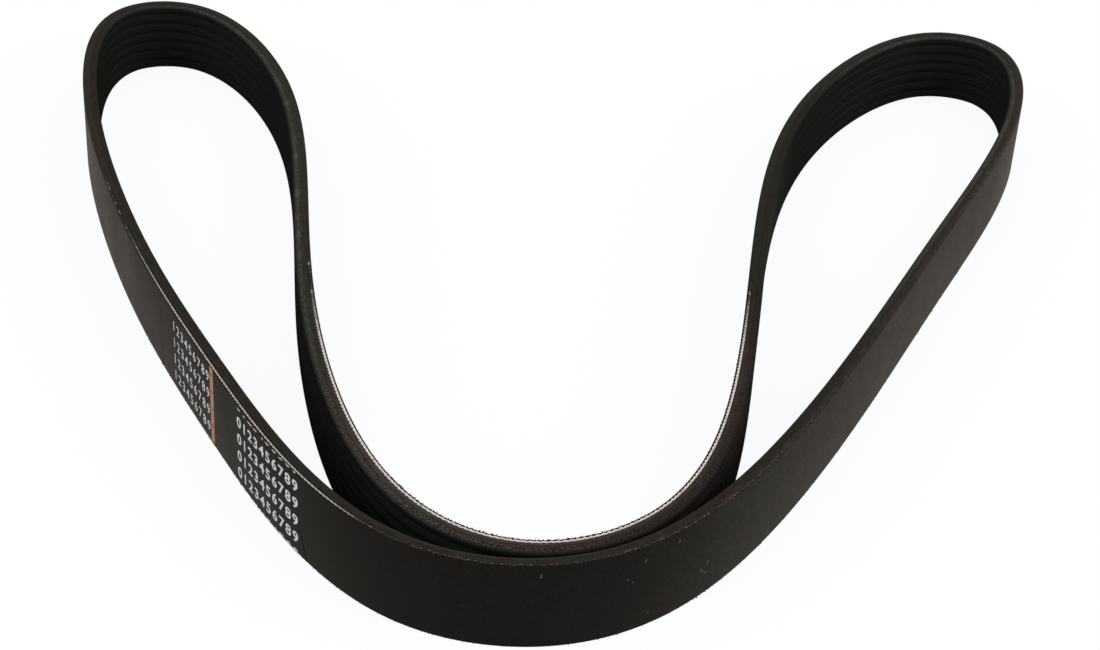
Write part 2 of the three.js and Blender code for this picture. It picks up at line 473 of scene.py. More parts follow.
# %% [markdown]
# The black rubber
#
# The rubber is black everywhere, yet no two sides of the belt look alike. The back is a fine woven
# mark, pressed in by the sleeve's wrapping and slightly slanted. The cut edges are brown-black and
# grainy, with pale flecks where the knife sliced the cord. The ribs were ground, so they are matt
# and nearly black. One material does all three, with masks read from the ruler on the belt: its UV
# map for the place along the loop, the height in Object coordinates, and the depth from the back.
#
# Very black rubber still shines grey at a flat angle, so its sheen and its weak reflection matter
# as much as its colour. The ground ribs have neither, and get a shader of their own.
#
# Each part of the loop is a slightly different black: partly the rubber's own dust, grinding and handling,
# and partly painted shade and painted highlight. Such a zone is two smooth steps of the ruler. The steps
# and the tones are tables with a name in each row, so that the formulas after them can be read in words.

# %% Colours and a new finish
WHITE = (1, 1, 1, 1)


def srgb(red, green, blue):
    """An 8 bit screen colour as the linear colour that a shader wants."""
    linear = []
    for level in (red / 255, green / 255, blue / 255):
        linear.append(((level + 0.055) / 1.055)**2.4 if level > 0.04045 else level / 12.92)
    return (*linear, 1)


def new_finish(name, roughness, specular, gloss_tint=WHITE):
    """A material, a Wire to start its tree from, and its shader."""
    finish = bpy.data.materials.new(name)
    finish.use_nodes = True
    shader = finish.node_tree.nodes["Principled BSDF"]
    shader.inputs["Roughness"].default_value = roughness
    shader.inputs["Specular IOR Level"].default_value = specular
    shader.inputs["Specular Tint"].default_value = gloss_tint
    return finish, Wire(finish.node_tree), shader


def feed(shader, **wires):
    """Links each wire to the shader's input of that name, with spaces for the underscores."""
    for name, wire in wires.items():
        wire.tree.links.new(wire.socket, shader.inputs[name.replace("_", " ")])


# %% Where the zones of the rubber begin and end
# Millimetres along the belt: a zone's mask rises from 0 to 1 over the first pair, and falls over the
# second. Without a second pair it stays at 1.
ZONES = {
    "past the front run": ((60, 150),),
    "right run": ((2, 40), (230, 330)),
    "far on the right run": ((150, 300),),
    "past the right run": ((300, 340),),
    "flecks of the right run": ((205, 235), (400, 430)),
    "grey flank on the right": ((110, 200), (400, 480)),
    "right tip": ((250, 340), (400, 450)),
    "right leg": ((480, 540), (590, 650)),
    "ribs of the right leg": ((480, 560), (670, 720)),
    "low on the right leg": ((590, 630),),
    "inner bend": ((610, 660), (860, 920)),
    "past the right bend": ((690, 770),),
    "under the inner bend": ((690, 740), (820, 890)),
    "left leg": ((815, 870), (1000, 1090)),
    "grey flank on the left": ((720, 800), (1110, 1190)),
    "pale flank": ((900, 940), (1060, 1110)),
    "left tip": ((1190, 1230), (1290, 1330)),
    "rough patch": ((1205, 1225), (1255, 1285)),
    "before the front run": ((1380, 1440),),
    "past the outer cord": ((1476, 1488),),
}
# Millimetres in from the back, over which a mask rises.
DEPTHS = {
    "off the back": (0.1, 0.3),
    "past the cover of the cord": (0.3, 0.55),
    "past the cord": (1.1, 1.9),
    "past the brown edge": (1.1, 2.0),
    "onto the flank": (2.0, 3.2),
    "low on the flank": (3.3, 4.6),
    "from groove to crest": (2.5, 4.5),
}


def ramp(ruler, marks):
    """0 before the first of two marks in millimetres, and 1 after the second."""
    return ruler.smooth(*(mark * MM for mark in marks))


def zone(along, name):
    """1 in the zone of that name and 0 outside it."""
    first, *last = ZONES[name]
    mask = ramp(along, first)
    return mask - ramp(along, *last) if last else mask


print(len(ZONES), "zones along the belt")

# %% Tones of the rubber, as screen colours
TONES = {
    "woven mark": (42, 40, 36),
    # Painted highlight: the back is painted paler near the far ends of both lobes.
    "painted tip highlight": (44, 42, 39),
    "rough patch": (66, 63, 59),
    "shaded brown": (28, 24, 22),
    "cover of the cord": (14, 12, 11),
    "right leg": (25, 26, 23),
    "pale patches": (82, 82, 77),
    # Painted shade: the flank darkens further down, so its paler top stands for a highlight on the corner.
    "shaded low flank": (22, 21, 19),
    "shaded ribs": (12, 12, 11),
    "grey ribs": (45, 45, 41),
    # Painted light and painted shade: paler grooves and darker crests even out the shading of the ribs.
    "brown grooves": (58, 51, 45),
    "brown crests": (37, 33, 29),
    "flecks": (150, 142, 130),
    "lines": (6, 6, 5),
}
# The darker and the paler tone that a grain wavers between.
GRAINED_TONES = {
    "back": ((7, 7, 6), (25, 24, 22)),
    "brown edge": ((38, 31, 28), (70, 59, 54)),
    "green black edge": ((18, 19, 17), (37, 38, 34)),
    "brown black edge": ((20, 17, 15), (43, 37, 33)),
    "grey edge": ((20, 20, 19), (46, 46, 42)),
    "edge beside the back": ((22, 17, 15), (52, 42, 37)),
    "dark flank": ((17, 16, 15), (38, 35, 31)),
    "brown flank": ((24, 19, 18), (50, 42, 39)),
    "grey flank": ((24, 24, 22), (72, 72, 66)),
    # Painted light and painted shade: paler grooves and darker crests even out the shading of the ribs.
    "crests": ((20, 20, 19), (29, 29, 28)),
    "grooves": ((38, 38, 36), (53, 53, 50)),
}


def tone(name):
    return srgb(*TONES[name])


def grained(grain, name):
    """The darker tone of a pair where the grain is 0, and the paler one where it is 1."""
    dark, pale = GRAINED_TONES[name]
    return grain.mix(srgb(*dark), srgb(*pale))


print(len(TONES) + 2 * len(GRAINED_TONES), "tones")

# %% Masks of the belt's sides
HALF_WIDTH = BELT_WIDTH / 2
RUBBER_ROUGHNESS = 0.6

belt_rubber, surface, rubber_shader = new_finish(
    "belt_rubber", RUBBER_ROUGHNESS, specular=0.035, gloss_tint=srgb(255, 245, 231))
rubber_shader.inputs["Sheen Weight"].default_value = 0.06
rubber_shader.inputs["Sheen Roughness"].default_value = 0.4
rubber_shader.inputs["Sheen Tint"].default_value = srgb(255, 228, 196)
along = surface.node("ShaderNodeUVMap", {"uv_map": "ruler"}).part("X")
inset = surface.node("ShaderNodeAttribute", {"attribute_name": "inset"}, output="Fac")
place = surface.node("ShaderNodeTexCoord", output="Object")
height = place.part("Z")

from_middle = (height - HALF_WIDTH).math("ABSOLUTE")
on_cut_edge = from_middle.smooth(HALF_WIDTH - 0.12 * MM, HALF_WIDTH - 0.03 * MM)
off_back = ramp(inset, DEPTHS["off the back"])
on_back = 1 - off_back
on_ribs = inset.smooth(BACK_WALL - 0.05 * MM, BACK_WALL + 0.05 * MM) * (1 - on_cut_edge)
top_flank = height.smooth(BELT_WIDTH - 1.4 * MM, BELT_WIDTH - 0.9 * MM)
in_inner_bend = zone(along, "inner bend")
print(len(surface.tree.nodes), "nodes for the masks")

# %% Grain of the rubber
mottling = surface.combine(along + height * 0.5, height * 0.5).noise(3 * MM, 4)
patches = surface.combine(along, height * 0.4).noise(14 * MM, 3)
grit = place.noise(0.5 * MM, 2).smooth(0.3, 0.7)
grain = place.noise(0.3 * MM, 3)
fine_grain = place.noise(0.16 * MM, 2)
speckle = place.noise(0.36 * MM, 3).smooth(0.42, 0.62)
streaks = surface.combine(along * 0.06, inset).noise(0.3 * MM, 2)
torn = (grain * 0.5 + streaks * 0.5).smooth(0.38, 0.62)
print(len(surface.tree.nodes), "nodes with the grain")

# %% The slanted woven mark on the back
HATCH_COUNT = 1600
HATCH_LEAN = 0.62
CROSS_PITCH = 0.9 * MM
CROSS_LEAN = 0.02


def stripes(turns):
    """One soft stripe, from 0 to 1 and back, for each full turn."""
    return turns.math("SINE") * 0.5 + 0.5


hatch = stripes((along + height * HATCH_LEAN) * (2 * math.pi * HATCH_COUNT / BELT_LENGTH))
cross_hatch = stripes((height - along * CROSS_LEAN) * (2 * math.pi / CROSS_PITCH))
pressed = (0.08 + zone(along, "right run") * 0.92) * patches.smooth(0.2, 0.6)
worn_weave = surface.combine(along, height).noise(1.8 * MM, 3).smooth(0.3, 0.6)
weave = (hatch * 0.8 + cross_hatch * 0.2) * pressed * on_back * (0.1 + worn_weave * 0.45)
print(f"a woven thread every {BELT_LENGTH / HATCH_COUNT / MM:.2f} mm")

# %% Colour of the back
back_colour = grained(mottling * 0.35 + grit * 0.5 + patches * 0.4 - 0.05, "back")
back_colour = weave.mix(back_colour, tone("woven mark"))
# Painted highlight: the back is painted paler near the far ends of both lobes, where it turns away.
tip_highlight = zone(along, "right tip") + zone(along, "left tip")
back_colour = (tip_highlight * 0.3).mix(back_colour, tone("painted tip highlight"))
blotches = surface.combine(along, height).noise(1.3 * MM, 4).smooth(0.42, 0.66)
blotches = blotches * zone(along, "rough patch") * (1 - height.smooth(4 * MM, 10 * MM))
back_colour = (blotches * 0.6).mix(back_colour, tone("rough patch"))
print(len(surface.tree.nodes), "nodes with the back")

# %% Colour of the cut edges
brown = grained(torn, "brown edge")
brown = ((1 - zone(along, "past the right bend")) * 0.5).mix(brown, tone("shaded brown"))
warmth = surface.combine(along, inset * 3).noise(9 * MM, 2).smooth(0.4, 0.6)
drab = warmth.mix(grained(torn, "green black edge"), grained(torn, "brown black edge"))
edge_colour = (0.05 + in_inner_bend * 0.95).mix(drab, brown)
cover = in_inner_bend * (1 - ramp(inset, DEPTHS["past the cover of the cord"]))
edge_colour = cover.mix(edge_colour, tone("cover of the cord"))
greyed = zone(along, "left leg") * ramp(inset, DEPTHS["past the cord"])
edge_colour = greyed.mix(edge_colour, grained(speckle, "grey edge"))
edge_colour = (zone(along, "right leg") * 0.6).mix(edge_colour, tone("right leg"))
beside_back = 1 - ramp(inset, DEPTHS["past the brown edge"])
beside_back = beside_back * (1 - zone(along, "past the right run"))
edge_colour = (beside_back * 0.8).mix(edge_colour, grained(torn, "edge beside the back"))
print(len(surface.tree.nodes), "nodes with the cut edges")

# %% Colour of the top rib's outer flank
flank_colour = in_inner_bend.mix(grained(speckle, "dark flank"), grained(speckle, "brown flank"))
grey_zone = zone(along, "grey flank on the left") + zone(along, "grey flank on the right")
flank_colour = grey_zone.mix(flank_colour, grained(speckle, "grey flank"))
pale_patches = surface.combine(along).noise(9 * MM, 2).smooth(0.5, 0.62)
pale_patches = pale_patches * zone(along, "pale flank")
flank_colour = (pale_patches * 0.5).mix(flank_colour, tone("pale patches"))
# Painted shade further down the flank, towards the crest, which leaves its top paler like a lit corner.
flank_colour = ramp(inset, DEPTHS["low on the flank"]).mix(flank_colour, tone("shaded low flank"))
edge_colour = ramp(inset, DEPTHS["onto the flank"]).mix(edge_colour, flank_colour)
print(len(surface.tree.nodes), "nodes with the flank")

# %% Colour of the ground ribs, with painted light in their grooves, painted shade on their crests, and painted shade where the loop hides them
ground_grain = fine_grain.smooth(0.4, 0.62)
to_crest = ramp(inset, DEPTHS["from groove to crest"])
# Painted light in the grooves and painted shade on the crests, which flatten the ribs' shading.
rib_colour = to_crest.mix(grained(ground_grain, "grooves"), grained(ground_grain, "crests"))
behind_front = 1 - zone(along, "past the front run") + zone(along, "before the front run")
in_shade = zone(along, "under the inner bend") * 0.3 + behind_front * 0.6
rib_colour = in_shade.mix(rib_colour, tone("shaded ribs"))
# The ribs of the right leg get the same painted light in the grooves and painted shade on the crests.
brown_ribs = to_crest.mix(tone("brown grooves"), tone("brown crests"))
leg_colour = zone(along, "low on the right leg").mix(tone("grey ribs"), brown_ribs)
rib_colour = zone(along, "ribs of the right leg").mix(rib_colour, leg_colour)
print(len(surface.tree.nodes), "nodes with the ribs")

# %% Thin lines: cord flecks, the print film's edge and the slanted joint of the wrapping
LINE_HALF = 0.1 * MM
FLECK_DEPTH = 0.4 * MM
FILM_EDGE = 1351 * MM
JOINT_FOOT = 1453.4 * MM
JOINT_LEAN = 0.34


def line_at(distance, blur):
    """1 on a line and 0 beside it, from the distance to it and where it has faded out."""
    return 1 - distance.math("ABSOLUTE").smooth(LINE_HALF, blur)


fleck_breaks = surface.combine(along, inset * 2).noise(0.7 * MM, 2).smooth(0.54, 0.66)
fleck_zone = 1 - zone(along, "past the front run") * 0.75
fleck_zone = fleck_zone - zone(along, "far on the right run") * 0.25
fleck_zone = fleck_zone + zone(along, "flecks of the right run") + zone(along, "past the outer cord")
flecks = line_at(inset - FLECK_DEPTH, 0.4 * MM) * fleck_breaks * fleck_zone
flecks = flecks * on_cut_edge * (height > HALF_WIDTH)

film_edge = line_at(along - FILM_EDGE, 0.5 * MM)
joint = line_at(along + height * JOINT_LEAN - JOINT_FOOT, 0.45 * MM)
joint = joint * (1 - height.smooth(9 * MM, 19 * MM))
lines = (film_edge * 0.35 + joint) * on_back
print(len(surface.tree.nodes), "nodes with the thin lines")

# %% Relief and roughness of the rubber
GRAIN_DEPTH = 0.05 * MM

relief = weave * 0.8 + (grain + fine_grain) * (0.1 + off_back * 0.9) - lines * 2
relief = relief + blotches * on_back * 4
sockets = {"Strength": 0.7, "Distance": GRAIN_DEPTH, "Height": relief}
bump = surface.node("ShaderNodeBump", {}, sockets)
colour = off_back.mix(back_colour, edge_colour)
colour = (flecks * 0.4).mix(colour, tone("flecks"))
colour = lines.mix(colour, tone("lines"))
roughness = RUBBER_ROUGHNESS + off_back * 0.25 + (mottling - 0.5) * 0.12 + (grit - 0.5) * 0.1
roughness = roughness - weave * 0.08 + lines * 0.4 + (patches - 0.5) * on_back * 0.22
feed(rubber_shader, Base_Color=colour, Normal=bump, Roughness=roughness)
print("the skin's shader has", sum(socket.is_linked for socket in rubber_shader.inputs), "inputs fed")

# %% The ground ribs have no sheen at all
rib_shader = surface.tree.nodes.new("ShaderNodeBsdfPrincipled")
rib_shader.inputs["Roughness"].default_value = 1.0
rib_shader.inputs["Specular IOR Level"].default_value = 0.0
feed(rib_shader, Base_Color=rib_colour, Normal=bump)
skin = Wire(surface.tree, rubber_shader.outputs[0])
ground = Wire(surface.tree, rib_shader.outputs[0])
on_ground = on_ribs * (1 - top_flank)
both = surface.node("ShaderNodeMixShader", {}, {0: on_ground, 1: skin, 2: ground})
surface.tree.links.new(both.socket, surface.tree.nodes["Material Output"].inputs[0])
print(len(belt_rubber.node_tree.nodes), "nodes in", belt_rubber.name)

# %% [markdown]
# Sweeping the section round the loop
#
# A grid is a sheet of vertices in rows and columns. Here each column is one station along the loop
# and each row one point of the section, so setting every vertex's place from its column and row
# bends the sheet into the belt. The first and last columns meet, and so do the first and last rows,
# and merging them closes the skin. The grid's own UV map becomes the ruler on the belt: U is metres
# along the loop, and V runs once round the section. The depth from the back is kept beside it.

# %% A place on the belt, and a grid with numbered columns
def place_on_belt(start, path, along, inset, height):
    """A point of the belt: metres along the loop, metres in from the back, metres up."""
    curve = start.node("GeometryNodeObjectInfo", {}, {0: path}, "Geometry")
    sockets = {"Curves": curve, "Factor": (along / BELT_LENGTH).math("FRACT")}
    spot = start.node("GeometryNodeSampleCurve", {"mode": "FACTOR"}, sockets, "Position")
    inwards = spot.other("Tangent").vector("CROSS_PRODUCT", (0, 0, -1))
    return spot.vector("ADD", inwards.scaled(inset)).vector("ADD", start.combine(z=height))


def numbered_grid(start, columns, rows):
    """A sheet of vertices, with the column and the row of each."""
    sheet = start.node("GeometryNodeMeshGrid", {}, {"Vertices X": columns, "Vertices Y": rows})
    index = start.node("GeometryNodeInputIndex")
    column = ((index + 0.5) / rows).math("FLOOR")
    return sheet, column, index - column * rows


# %% The tree of the belt
STATIONS = 761
EDGE_WEAR = 0.06 * MM
WEAR_LUMP = 1.5 * MM
OUTER_CHANNEL = 0.3
RULER_SCALE = (BELT_LENGTH, 0.1, 0)
BELT_WELD = 0.001 * MM
SHARP_ANGLE = math.radians(35)

start, given = new_tree(
    "ribbed strip", path="object", section="object", stations="whole", rows="whole",
    channel="number", wear="number", rubber="material")
sheet, column, row = numbered_grid(start, given["stations"], given["rows"])
along = column / (given["stations"] - 1) * BELT_LENGTH
corner = row.math("MODULO", given["rows"] - 1)
section = start.node("GeometryNodeObjectInfo", {}, {0: given["section"]}, "Geometry")
position = start.node("GeometryNodeInputPosition")
sockets = {"Geometry": section, "Value": position, "Index": corner}
point = start.node("GeometryNodeSampleIndex", {"data_type": "FLOAT_VECTOR"}, sockets)
sinks = start.node("GeometryNodeInputNamedAttribute", {}, {"Name": "sinks"}, "Attribute")
sockets = {"Geometry": section, "Value": sinks, "Index": corner}
sinks = start.node("GeometryNodeSampleIndex", {}, sockets)

inset = point.part("X")
sunken = bare(along, INNER_BARE) + bare(along, OUTER_BARE) * OUTER_CHANNEL
channel = sinks * given["channel"] * sunken
centre_line = place_on_belt(start, given["path"], along, 0.0, 0.0)
worn = centre_line.noise(WEAR_LUMP, 3) * given["wear"] / HALF_WIDTH
height = HALF_WIDTH + (point.part("Y") - HALF_WIDTH) * (1 - worn) - channel

ruler = sheet.other("UV Map").vector("MULTIPLY", RULER_SCALE)
sockets = {"Geometry": sheet, "Name": "ruler", "Value": ruler}
settings = {"data_type": "FLOAT2", "domain": "CORNER"}
shape = start.node("GeometryNodeStoreNamedAttribute", settings, sockets)
sockets = {"Geometry": shape, "Name": "inset", "Value": inset}
shape = start.node("GeometryNodeStoreNamedAttribute", {}, sockets)
bent = place_on_belt(start, given["path"], along, inset, height)
shape = start.node("GeometryNodeSetPosition", {}, {"Geometry": shape, "Position": bent})
shape = start.node("GeometryNodeMergeByDistance", {}, {"Geometry": shape, "Distance": BELT_WELD})
shape = start.node("GeometryNodeFlipFaces", {}, {"Mesh": shape})
shape = start.node("GeometryNodeSetShadeSmooth", {}, {"Geometry": shape, "Shade Smooth": True})
sharp = start.node("GeometryNodeInputMeshEdgeAngle") > SHARP_ANGLE
sockets = {"Geometry": shape, "Selection": sharp, "Shade Smooth": False}
shape = start.node("GeometryNodeSetShadeSmooth", {"domain": "EDGE"}, sockets)
finish_tree(shape, given["rubber"])

belt = bake(
    "belt", start, path=belt_path, section=belt_section, stations=STATIONS,
    rows=len(section_points) + 1, channel=CHANNEL_DEPTH, wear=EDGE_WEAR, rubber=belt_rubber)

# %% [markdown]
# The bare cord
#
# A load cord is a yarn of plies twisted together, and where the knife has grazed it the twist shows
# as slanted pale lumps with dark gaps. A rope texture on a tube would look flat at this size, so the
# two plies are real helices. Each is a line of points wound round the cord's place in the edge, and
# Curve to Mesh gives it its thickness. Beyond the bare stretch the cord lies hidden in the rubber.

# %% Finish of the cord
# Metres along the belt, past the inner run and before the outer one.
BETWEEN_RUNS = (1.0, 1.1)
SLICED_TOP = (BELT_WIDTH - 0.52 * MM, BELT_WIDTH - 0.26 * MM)

bare_cord, surface, cord_shader = new_finish("load_cord", roughness=0.8, specular=0.15)
place = surface.node("ShaderNodeTexCoord", output="Object")
along = surface.node("ShaderNodeAttribute", {"attribute_name": "along"}, output="Fac")
fibre = place.noise(0.14 * MM, 3).smooth(0.35, 0.65)
below_slice = 1 - place.part("Z").smooth(*SLICED_TOP)
stains = surface.combine(along).noise(2.6 * MM, 3).smooth(0.5, 0.66)
colour = fibre.mix(srgb(182, 175, 165), srgb(226, 221, 212))
colour = (stains * 0.45).mix(colour, srgb(76, 64, 57))
colour = (along.smooth(*BETWEEN_RUNS) * 0.4).mix(colour, srgb(92, 84, 75))
colour = below_slice.mix(colour, srgb(46, 36, 31))
clean = along.smooth(*RIGHT_LEG_SMEAR) - along.smooth(*LEFT_LEG_SMEAR)
clean = clean + along.smooth(*OUTER_START_SMEAR) - along.smooth(*OUTER_END_SMEAR)
smears = surface.combine(along).noise(3.2 * MM, 2).smooth(0.42, 0.5)
colour = ((1 - clean) * (0.7 + smears * 0.3)).mix(colour, srgb(44, 37, 33))
sockets = {"Strength": 0.5, "Distance": GRAIN_DEPTH, "Height": fibre}
bump = surface.node("ShaderNodeBump", {}, sockets)
feed(cord_shader, Base_Color=colour, Normal=bump)
print(len(surface.tree.nodes), "nodes in", bare_cord.name)

# %% The tree of the twisted cord
PLIES = 2
PLY_REACH = 0.95
TWIST_LENGTH = 3.3 * MM
CORD_DIVE = 1.1 * MM
DIVE_LENGTH = 7 * MM
PLY_SIDES = 8

start, given = new_tree(
    "twisted cord", path="object", first="number", last="number", points="whole",
    rises="number", dives="number", level="number", inset="number", ply="number", cord="material")
line = start.node("GeometryNodeMeshLine", {}, {"Count": given["points"]})
fraction = start.node("GeometryNodeInputIndex") / (given["points"] - 1)
along = given["first"] + fraction * (given["last"] - given["first"])
lifted = along.smooth(given["rises"], given["rises"] + DIVE_LENGTH)
lifted = lifted - along.smooth(given["dives"] - DIVE_LENGTH, given["dives"])
level = given["level"] - (1 - lifted) * CORD_DIVE
sockets = {"Resolution": PLY_SIDES, "Radius": given["ply"]}
profile = start.node("GeometryNodeCurvePrimitiveCircle", {}, sockets)
strands = start.tree.nodes.new("GeometryNodeJoinGeometry")
for ply in range(PLIES):
    turn = along * (-2 * math.pi / TWIST_LENGTH) + 2 * math.pi * ply / PLIES
    inset = given["inset"] + turn.math("COSINE") * PLY_REACH * given["ply"]
    height = level + turn.math("SINE") * PLY_REACH * given["ply"]
    wound = place_on_belt(start, given["path"], along, inset, height)
    helix = start.node("GeometryNodeSetPosition", {}, {"Geometry": line, "Position": wound})
    sockets = {"Geometry": helix, "Name": "along", "Value": along}
    helix = start.node("GeometryNodeStoreNamedAttribute", {}, sockets)
    helix = start.node("GeometryNodeMeshToCurve", {}, {0: helix})
    sockets = {"Curve": helix, "Profile Curve": profile, "Fill Caps": True}
    strand = start.node("GeometryNodeCurveToMesh", {}, sockets)
    start.tree.links.new(strand.socket, strands.inputs[0])
cord = Wire(start.tree, strands.outputs[0])
cord = start.node("GeometryNodeSetShadeSmooth", {}, {"Geometry": cord, "Shade Smooth": True})
finish_tree(cord, given["cord"])

# %% Wind both stretches of the cord
POINT_STEP = 0.4 * MM
# The cord's middle lies this many ply radii below the cut edge.
BELOW_EDGE = 1.5
# Where it starts, where it lies bare, the radius of a ply, and how far in from the back
CORD_RUNS = {
    "inner_run": (STATION["right neck"], INNER_BARE, 0.22 * MM, 0.78 * MM),
    "outer_run": (STATION["left run, far"], OUTER_BARE, 0.16 * MM, 0.60 * MM),
}
cords = {}
for name, (first, (rises, dives), ply, inset) in CORD_RUNS.items():
    cords[name] = bake(
        f"twisted_cord_{name}", start, path=belt_path, first=float(first), last=dives,
        points=round((dives - first) / POINT_STEP), rises=rises, dives=dives,
        level=BELT_WIDTH - BELOW_EDGE * ply, inset=inset, ply=ply, cord=bare_cord)

# %% [markdown]
# Crumbs of rubber
#
# The knife leaves crumbs and torn tufts on the corners of the cut. They matter most where the edge
# stands against the white background. They are scattered by a tree with a fixed seed: a small ball
# of a few faces, stretched and turned at random, on random places of a stretch of one corner.

# %% The tree of the crumbs
FULL_TURN = 6.28
FLATTENED = (0.3, 1.0)
STRETCHED = (0.5, 2.4)

start, given = new_tree(
    "scattered crumbs", path="object", first="number", last="number", count="whole",
    inset="number", height="number", spread="number", crumb="number", seed="whole", rubber="material")


def chance(offset, low, high):
    """A random number for each point. The offset keeps the numbers of one point apart."""
    seed = given["seed"] + offset
    return start.node("FunctionNodeRandomValue", {}, {2: low, 3: high, "Seed": seed}, 1)


line = start.node("GeometryNodeMeshLine", {}, {"Count": given["count"]})
along = chance(1, given["first"], given["last"])
inset = given["inset"] + chance(2, -0.5, 0.5) * given["spread"]
height = given["height"] + chance(3, -0.5, 0.5) * given["spread"]
spots = place_on_belt(start, given["path"], along, inset, height)
points = start.node("GeometryNodeSetPosition", {}, {"Geometry": line, "Position": spots})
ball = start.node("GeometryNodeMeshIcoSphere", {}, {"Radius": given["crumb"], "Subdivisions": 1})
turned = start.combine(*(chance(offset, 0, FULL_TURN) for offset in (4, 5, 6)))
pulled = start.combine(chance(7, *FLATTENED), chance(8, *FLATTENED), chance(9, *STRETCHED))
sockets = {"Points": points, "Instance": ball, "Rotation": turned, "Scale": pulled}
crumbs = start.node("GeometryNodeInstanceOnPoints", {}, sockets)
finish_tree(crumbs, given["rubber"])

# %% Scatter the crumbs where the knife left them
FOOT = 0.1 * MM
TOP = BELT_WIDTH - FOOT
SPREAD = 0.3 * MM
# Metres along the belt from and to, how many, the height, then millimetres in and the crumbs' radius
CRUMB_ROWS = {
    "inner_legs": (0.640, 0.900, 110, TOP, 0.0, 0.11),
    "inner_bend": (0.728, 0.806, 190, TOP, -0.02, 0.14),
    "inner_tufts": (0.728, 0.800, 26, TOP, -0.1, 0.2),
    "front_foot": (0.0, 0.230, 130, FOOT, 0.05, 0.13),
    "front_tufts": (0.004, 0.050, 4, FOOT, -0.1, 0.22),
    "left_foot": (1.330, 1.538, 150, FOOT, 0.05, 0.13),
}
crumbs = {}
for seed, (name, row) in enumerate(CRUMB_ROWS.items()):
    first, last, count, height, inset, crumb = row
    crumbs[name] = bake(
        f"edge_crumbs_{name}", start, path=belt_path, first=first, last=last, count=count,
        inset=inset * MM, height=height, spread=SPREAD, crumb=crumb * MM,
        seed=seed * 100, rubber=belt_rubber)

# %% [markdown]
# The printed figures
#
# The back of the belt carries rows of plain digits, one block thin and one block bold. Print is a
# film of ink, so each row is a text object made into a very thin mesh. One tree repeats the row up
# the belt and bends it round the back with the same formula that bent the belt, so the print lies
# on the rubber everywhere. Rows that run over an edge are cut off there, as on the real thing.

# %% Finish of the print
def plain_ink(name, colour):
    """A matt ink that has worn thin in places."""
    ink, surface, shader = new_finish(name, roughness=0.6, specular=0.1)
    place = surface.node("ShaderNodeTexCoord", output="Object")
    worn = place.noise(0.5 * MM, 3).smooth(0.45, 0.75)
    feed(shader, Base_Color=(worn * 0.45).mix(colour, srgb(70, 66, 60)))
    return ink


pale_ink = plain_ink("pale_ink", srgb(188, 192, 191))
orange_ink = plain_ink("orange_ink", srgb(158, 112, 86))
print("inks:", pale_ink.name, orange_ink.name)

# %% The tree that prints a row
PRINT_WELD = 0.002 * MM

start, given = new_tree(
    "printed rows", path="object", row="object", first="number", foot="number",
    lean="number", kept="number", pitch="number", rows="whole", ink="material")
row = start.node("GeometryNodeObjectInfo", {}, {0: given["row"]}, "Geometry")
spot = start.node("GeometryNodeInputPosition")
up = spot.part("Y").math("MINIMUM", given["kept"]) + spot.part("X") * given["lean"]
sockets = {"Geometry": row, "Position": start.combine(spot.part("X"), up, spot.part("Z"))}
row = start.node("GeometryNodeSetPosition", {}, sockets)
sockets = {"Count": given["rows"], "Offset": start.combine(0, given["pitch"])}
feet = start.node("GeometryNodeMeshLine", {}, sockets)
sockets = {"Points": feet, "Instance": row}
type_rows = start.node("GeometryNodeInstanceOnPoints", {}, sockets)
type_rows = start.node("GeometryNodeRealizeInstances", {}, {0: type_rows})
spot = start.node("GeometryNodeInputPosition")
height = (given["foot"] + spot.part("Y")).math("MAXIMUM", 0.0).math("MINIMUM", BELT_WIDTH)
inset = 0 - spot.part("Z")
bent = place_on_belt(start, given["path"], given["first"] + spot.part("X"), inset, height)
type_rows = start.node("GeometryNodeSetPosition", {}, {"Geometry": type_rows, "Position": bent})
sockets = {"Geometry": type_rows, "Distance": PRINT_WELD}
type_rows = start.node("GeometryNodeMergeByDistance", {}, sockets)
finish_tree(type_rows, given["ink"])

# %% A row of type as a thin mesh
INK_RISE = 0.025 * MM
INK_SINK = 0.008 * MM


def type_row(name, digits, width, cap_height, boldness, spacing):
    """Flat digits as a thin mesh, from (0, 0) to (width, cap_height)."""
    text = bpy.data.curves.new(name, "FONT")
    text.body = digits
    text.offset = boldness
    text.space_character = spacing
    text.extrude = 0.1
    text.resolution_u = 3
    holder = add_object(name, text)
    evaluated = holder.evaluated_get(bpy.context.evaluated_depsgraph_get())
    mesh = bpy.data.meshes.new_from_object(evaluated)
    bpy.data.objects.remove(holder)
    corners = np.array([vertex.co for vertex in mesh.vertices])
    low, high = corners.min(axis=0), corners.max(axis=0)
    size = Vector((width, cap_height, INK_RISE + INK_SINK))
    for vertex in mesh.vertices:
        vertex.co = [(vertex.co[i] - low[i]) / (high[i] - low[i]) * size[i] for i in range(3)]
        vertex.co.z -= INK_SINK
    return add_object(name, mesh)


# %% Print both blocks of figures
THIN_CAP = 3.1 * MM
BOLD_CAP = 3.35 * MM
BOLD_START = 1412.9 * MM
BOLD_LEAN = 0.028

thin_row = type_row(
    "thin_row", "123456789", width=29.3 * MM, cap_height=THIN_CAP, boldness=0.004, spacing=1.35)
bold_row = type_row(
    "bold_row", "0123456789", width=36.3 * MM, cap_height=BOLD_CAP, boldness=0.022, spacing=1.25)

thin_print = bake(
    "printed_thin_figures", start, path=belt_path, row=thin_row, first=1362.6 * MM,
    foot=-2.55 * MM, lean=0.0, kept=THIN_CAP, pitch=5.4 * MM, rows=5, ink=pale_ink)
bold_print = bake(
    "printed_bold_figures", start, path=belt_path, row=bold_row, first=BOLD_START,
    foot=-3.2 * MM, lean=BOLD_LEAN, kept=BOLD_CAP, pitch=5.32 * MM, rows=5, ink=pale_ink)
cut_print = bake(
    "printed_cut_figures", start, path=belt_path, row=bold_row, first=BOLD_START,
    foot=23.43 * MM, lean=BOLD_LEAN, kept=0.5 * MM, pitch=0.0, rows=1, ink=pale_ink)

